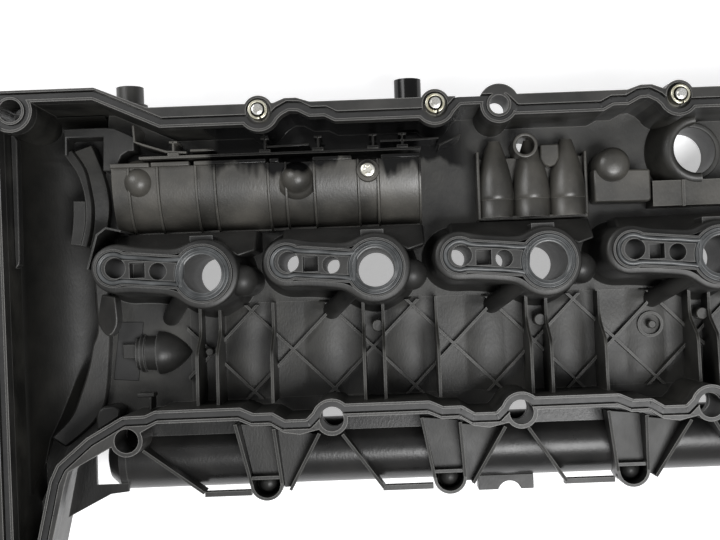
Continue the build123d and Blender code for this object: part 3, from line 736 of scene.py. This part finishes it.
def bay_skin():
    """The smooth hollowed floor of the timing bay, as a thin closed sheet."""
    rows, columns = 110, 48
    verts, faces = [], []
    for level in (0.0, -1.0):
        for j in range(rows + 1):
            y = -118.0 + 210.5 * j / rows
            left, right = -103.95, bay_x(y) + 0.6
            for i in range(columns + 1):
                x = left + (right - left) * i / columns
                verts.append((x, y, bay_height(x, y, left, right) + level))
    width = columns + 1
    under = width * (rows + 1)
    for j in range(rows):
        for i in range(columns):
            a = j * width + i
            faces.append([a, a + 1, a + 1 + width, a + width])
            faces.append([under + a + width, under + a + 1 + width, under + a + 1, under + a])
    rim = [i for i in range(width)] + [j * width + columns for j in range(1, rows + 1)]
    rim += [rows * width + i for i in range(columns - 1, -1, -1)]
    rim += [j * width for j in range(rows - 1, 0, -1)]
    for a, b in zip(rim, rim[1:] + rim[:1]):
        faces.append([b, a, under + a, under + b])
    # The bay floor takes the darker copy of the nylon: painted shade.
    piece("bay_floor", verts, faces, "cover_nylon", smooth=70, finish="bay_painted_shade_satin")


def ribbon(left, right, top_left, top_right, low, samples=48):
    """A raised band between two bowed lines, each resampled to the same count."""
    lines = []
    for line in (left, right):
        fine = curve_points(line, 12)
        lines.append([fine[round(k * (len(fine) - 1) / samples)] for k in range(samples + 1)])
    verts, faces = [], []
    for (lx, ly), (rx, ry) in zip(*lines):
        verts += [(lx, ly, top_left), (rx, ry, top_right), (rx, ry, low), (lx, ly, low)]
    for k in range(samples):
        for i in range(4):
            j = (i + 1) % 4
            faces.append([4 * k + i, 4 * k + j, 4 * k + 4 + j, 4 * k + 4 + i])
    faces += [[0, 1, 2, 3], [4 * samples + i for i in (3, 2, 1, 0)]]
    return verts, faces


def bay_rims():
    """The stepped, bowed border between the timing bay and the roof."""
    edge = [(-80.5, 70.5), (-73.6, 60.2), (-70.1, 50.0), (-69.0, 40.0), (-69.7, 30.0), (-72.8, 18.9)]
    inner = [(-76.0, 72.5), (-69.6, 62.0), (-67.0, 50.0), (-65.9, 40.0), (-66.9, 28.0), (-69.5, 18.0)]
    roofward = [(-67.0, 76.0), (-61.6, 62.0), (-58.6, 50.0), (-58.0, 40.0), (-59.4, 30.0), (-62.0, 20.0)]
    piece("bay_rim_upper", *ribbon(edge, inner, -36.0, -37.5, -62.0), "baffle_nylon", smooth=40, bevel=0.5,
          stands_for=["timing_arch"], finish="bracket_nylon")
    piece("bay_rim_inner", *ribbon(inner, roofward, -43.0, -45.5, -61.0), "cover_nylon", smooth=40, bevel=0.6)
    low_edge = [(-68.6, 6.0), (-67.3, -25.9), (-70.5, -36.9), (-73.2, -49.1), (-78.2, -63.5), (-84.3, -76.7),
                (-95.8, -88.0)]
    low_roofward = [(-60.5, 6.0), (-60.2, -28.6), (-61.5, -47.9), (-63.4, -64.0), (-66.0, -73.0),
                    (-74.0, -83.0), (-88.0, -94.0)]
    piece("bay_rim_lower", *ribbon(low_edge, low_roofward, -45.4, -46.5, -61.5), "cover_nylon", smooth=40,
          bevel=1.2, finish="flange_nylon")
    panel = [(-76.4, 44.3), (-69.6, 44.0), (-69.3, 38.0), (-70.0, 30.0), (-72.9, 19.1), (-79.0, 19.8),
             (-77.4, 28.0), (-76.6, 36.0)]
    piece("bay_panel", *slab(panel, -58.0, -38.0), "cover_nylon", bevel=0.5, finish="flange_nylon")


def bay_details():
    ledge = [(-78.8, 83.8), (-78.9, 69.0), (-77.5, 68.9), (-77.3, 78.8), (-57.1, 78.6), (-57.9, 59.8),
             (-49.6, 59.5), (-49.0, 64.5), (-47.4, 68.0), (-43.6, 70.3), (-40.3, 70.2), (-40.0, 77.9),
             (-50.9, 83.3), (-56.4, 83.8)]
    piece("timing_bracket", *slab(ledge, -50.0, -33.0), "baffle_nylon", bevel=0.6,
          stands_for=["timing_ledge"], finish="well_nylon")
    band = [(-103.9, 7.0), (-101.9, 9.0), (-101.4, 12.0), (-100.6, 76.5), (-102.2, 79.4), (-103.9, 79.4)]
    piece("bay_wall_band", *slab(band, -27.0, -19.5), "cover_nylon", bevel=0.5, finish="flange_nylon")
    fin = curve_points([(-69.5, -7.0), (-68.7, -16.0), (-67.0, -23.4), (-63.5, -29.4), (-59.2, -32.0),
                        (-56.0, -28.5), (-54.4, -22.9), (-55.1, -10.0)], 4)
    crest = lambda x, y: -37.0 - 0.095 * abs(x + 58.0) ** 2 - 0.012 * (y + 16.0) ** 2
    piece("bay_fin", *slab(fin, ROOF - 4, crest), "cover_nylon", bevel=0.9, finish="flange_nylon")
    # The pocket's shade, painted as a thin black plate lying on the roof.
    shade_plate = [(-56.1, -24.2), (-42.5, -24.7), (-46.4, -58.1), (-60.7, -57.0)]
    piece("bay_shade_plate", *slab(shade_plate, ROOF - 1, ROOF + 0.5), "cover_nylon", bevel=0.3, finish="edge_rubber")
    pads = join(box(-53.8, -44.4, -45.2, -37.0, -52.0, -47.0), box(-43.0, -33.6, -66.0, -63.6, -40, -30.0),
                box(-36.6, -35.2, -73.0, -66.0, -44, -30.5))
    piece("bay_pads", *pads, "bracket_nylon", bevel=0.5)
    lug = [(-66.0, -76.0), (-64.8, -72.0), (-62.0, -70.4), (-56.1, -70.0), (-52.6, -72.1), (-53.0, -76.4),
           (-60.0, -80.6), (-66.0, -84.0)]
    piece("bay_lug", *slab(lug, -50.0, -30.0), "bracket_nylon", bevel=1.2, finish="well_nylon")
    bullet = [(0.01, -46.0), (9.4, -46.0), (9.4, -44.0), (10.6, -43.6), (10.6, -41.2), (9.6, -40.8),
              (9.9, -34.6), (12.2, -34.0), (12.2, -32.6)]
    bullet += [(12.2 * (1 - t ** 1.7) ** 0.85, -32.6 + 17.6 * t) for t in steps_between(0.05, 1.0, 18)]
    bullet = [(max(r, 0.01), h) for r, h in bullet]
    piece("thrust_bullet", *turned(bullet, (0.0, -42.6, ROOF + 0.2), "X", steps=56), "well_nylon", smooth=40,
          stands_for=["thrust_cone"])
    hook = [(-44.6, 24.7, 0), (-52.6, 26.7, 0), (-57.6, 23.1, 0), (-61.4, 10.2, 0), (-63.2, 4.8, 0)]
    piece("well_hook", *swept(hook, [(-0.6, -52.0), (0.6, -52.0), (0.6, -12.0), (-0.6, -12.0)]), "well_nylon",
          bevel=0.25)


# ---------------------------------------------------------------- roof, walls and filler

def roof_height(x, y):
    """Soft humps over every half pitch, fading towards the wells and the wall."""
    wave = max(0.0, math.cos(2 * math.pi * (x - 61.0) / (PITCH / 2)))
    fade = min(1.0, (y + 71.0) / 9.0, (-15.0 - y) / 7.0)
    ripple = noise.noise(Vector((x * 0.06, y * 0.06, 0.3))) * 0.25
    return ROOF + 0.35 + 1.3 * wave * max(0.0, fade) + ripple * max(0.0, fade)


def roof_cells():
    grid = sheet_grid(-16.0, 492.0, 380, -70.6, -16.0, 36, roof_height, 1.2)
    piece("roof_cells", *grid, "cover_nylon", smooth=80)


def roof_pins():
    pin = lambda x, y, r, top: turned([(0.01, ROOF), (r, ROOF), (r, top - 0.5), (r - 0.5, top), (0.01, top)],
                                      (x, y, 0.0), steps=32)
    pins = [pin(90.9 + PITCH * k, -31.5, 3.4, -41.0) for k in range(5)]
    pins += [pin(-3.9, -42.7, 2.2, -40.5), pin(245.3, -36.7, 2.3, -44.0)]
    ring = turned([(5.6, ROOF), (7.4, ROOF), (7.3, -48.6), (5.8, -48.6)], (245.3, -36.7, 0.0), steps=40)
    piece("roof_pins", *join(*pins, ring), "cover_nylon", smooth=40)


def bracket_top(x, y):
    """Height of the bracket sheets: they fall away from the flange over the tube."""
    return max(-30.0, -9.0 - 0.36 * (-80.0 - y))


def sheet_between(first, last, thick=1.7, drop=20.0):
    """An upright sheet between two places in plan, with the sloping bracket top."""
    (x0, y0), (x1, y1) = first, last
    way = Vector((x1 - x0, y1 - y0)).normalized() * thick / 2
    outline = [(x0 + way.y, y0 - way.x), (x1 + way.y, y1 - way.x), (x1 - way.y, y1 + way.x),
               (x0 - way.y, y0 + way.x)]
    return slab(outline, lambda x, y: bracket_top(x, y) - drop * 0.5 - 3, bracket_top)


def bracket_ear(x):
    """A U-shaped ear: two long walls, a round end, a flat floor in the end, a cross plate and a knob."""
    y_end = -115.0
    turn = steps_between(-math.pi / 2, math.pi / 2, 20)
    arc = [(x + 9.0 * math.sin(a), y_end - 9.0 * math.cos(a)) for a in turn]
    inner = [(x + 7.4 * math.sin(a), y_end - 7.4 * math.cos(a)) for a in reversed(turn)]
    shapes = [slab(arc + inner, -42.0, -21.5)]
    shapes.append(sheet_between((x - 14.6, -80.8), (x - 8.3, -115.5)))
    shapes.append(sheet_between((x + 5.8, -84.0), (x + 8.2, -115.5)))
    shapes.append(box(x - 8.0, x + 8.0, -112.6, -110.8, -36.0, -22.5))
    shapes.append(slab([(px * 0.9 + x * 0.1, py) for px, py in arc], -42.0, -39.5))
    knob = [(0.01, -27.2), (2.0, -27.5), (3.9, -28.7), (5.0, -30.8), (5.3, -33.0), (6.2, -34.0), (6.4, -41.0),
            (0.01, -41.0)]
    shapes.append(turned(knob, (x, y_end - 0.6, 0.0), steps=36))
    return join(*shapes)


def bracket_floor(outline):
    """A low sheet between two bracket sheets, just clear of the tube; inside an ear a trough floor, right of
    an ear painted shade.
    """
    return slab(outline, lambda x, y: -29.5 + 0.1 * (y + 80), lambda x, y: -24.5 + 0.1 * (y + 80))


def exhaust_side():
    """Ears, gussets and ledges that hang over the vacuum reservoir."""
    shapes, trough_and_shade_sheets = [], []
    for k in range(HOLES):
        hole = FIRST_HOLE + HOLE_STEP * k
        shapes += [bracket_ear(hole - EAR_OFFSET), sheet_between((hole - 7.6, -87.5), (hole - 25.0, -119.0)),
                   sheet_between((hole + 4.8, -88.5), (hole + 26.0, -119.6))]
        ear = hole - EAR_OFFSET
        trough_and_shade_sheets.append(bracket_floor([(ear - 13.8, -82.0), (ear - 8.0, -112.0), (ear + 8.0, -112.0),
                                   (ear + 5.4, -84.0)]))
        # Painted shade: a dark sheet filling the shaded gap right of each ear.
        trough_and_shade_sheets.append(bracket_floor([(ear + 6.4, -86.0), (ear + 9.0, -118.0), (hole - 25.0, -118.0),
                                   (hole - 8.2, -89.0)]))
        if k < HOLES - 1:
            shapes.append(box(hole + 25.4, hole + HOLE_STEP - 46.6, -121.8, -119.0, -33.0, -27.5))
    shapes += [sheet_between((-37.5, -93.5), (-6.8, -119.0)), box(-7.2, 18.4, -121.8, -119.0, -33.0, -27.5)]
    piece("bracket_ears", *join(*shapes), "bracket_nylon", smooth=40, bevel=0.35,
          stands_for=["exhaust_brackets"])
    # All these sheets take the darker nylon copy, which paints shade.
    piece("bracket_trough_and_shade_sheets", *join(*trough_and_shade_sheets), "bracket_nylon", bevel=0.4, finish="bay_painted_shade_satin")


def filler_funnel():
    """The sloped collar that leads from the intake wall to the oil filler."""
    profile = [(13.6, -50.0), (13.7, -33.5), (14.6, -32.6), (17.5, -32.6), (20.5, -36.0), (24.0, -46.0),
               (26.0, -51.8), (20.0, -51.8)]
    piece("filler_collar", *turned(profile, (272.0, 60.2, 0.0), steps=72, start=95, end=275), "cover_nylon",
          smooth=50)


def intake_walls():
    """Thin upright sheets behind the separator, with small T-shaped clips."""
    lines = [[(-38.6, 83.0), (-38.2, 74.0), (-33.0, 72.0), (-21.0, 68.0), (-10.0, 67.2)],
             [(96.0, 69.5), (112.0, 69.5), (128.0, 70.0)], [(128.0, 66.0), (140.0, 71.5)],
             [(-8.0, 68.2), (5.0, 68.2)], [(34.0, 68.6), (57.0, 69.2)]]
    section = [(-0.6, -52.0), (0.6, -52.0), (0.6, -24.5), (-0.6, -24.5)]
    sheets = [swept([(x, y, 0.0) for x, y in line], section) for line in lines]
    for x in (-17, 33, 62, 92, 108):
        sheets.append(box(x - 0.6, x + 0.6, 65.5, 73.5, -52, -24))
        sheets.append(box(x - 2.2, x + 2.2, 72.4, 73.6, -44, -24))
    piece("intake_sheets", *join(*sheets), "baffle_nylon", bevel=0.25)


def regulator_coil():
    """The regulator's return spring, drawn as a coil of fixed length; the real spring shortens as its plate
    rises.
    """
    x, y = REGULATOR
    turns, per_turn = 2.727, 24
    count = round(turns * per_turn)
    path = [(x + 9.6 * math.cos(2 * math.pi * i / per_turn), y + 9.6 * math.sin(2 * math.pi * i / per_turn),
             -64.2 + 6.0 * i / count) for i in range(count + 1)]
    wire = [(0.54 * math.cos(a), 0.54 * math.sin(a)) for a in steps_between(0, 2 * math.pi, 12)[:-1]]
    coil = piece("regulator_coil", *swept(path, wire), "spring_steel", smooth=60,
                 stands_for=["regulator_spring"])
    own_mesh(coil)


make_camera()
make_floor()
make_light()
dress_cad_nodes()
for number in range(1, CYLINDERS + 1):
    well_seal(number)
    well_skirt(number)
    well_fairing(number)
separator_cover()
cyclones()
pot_cover()
baffle_screw()
bay_skin()
bay_rims()
bay_details()
roof_cells()
roof_pins()
filler_funnel()
exhaust_side()
intake_walls()
regulator_coil()
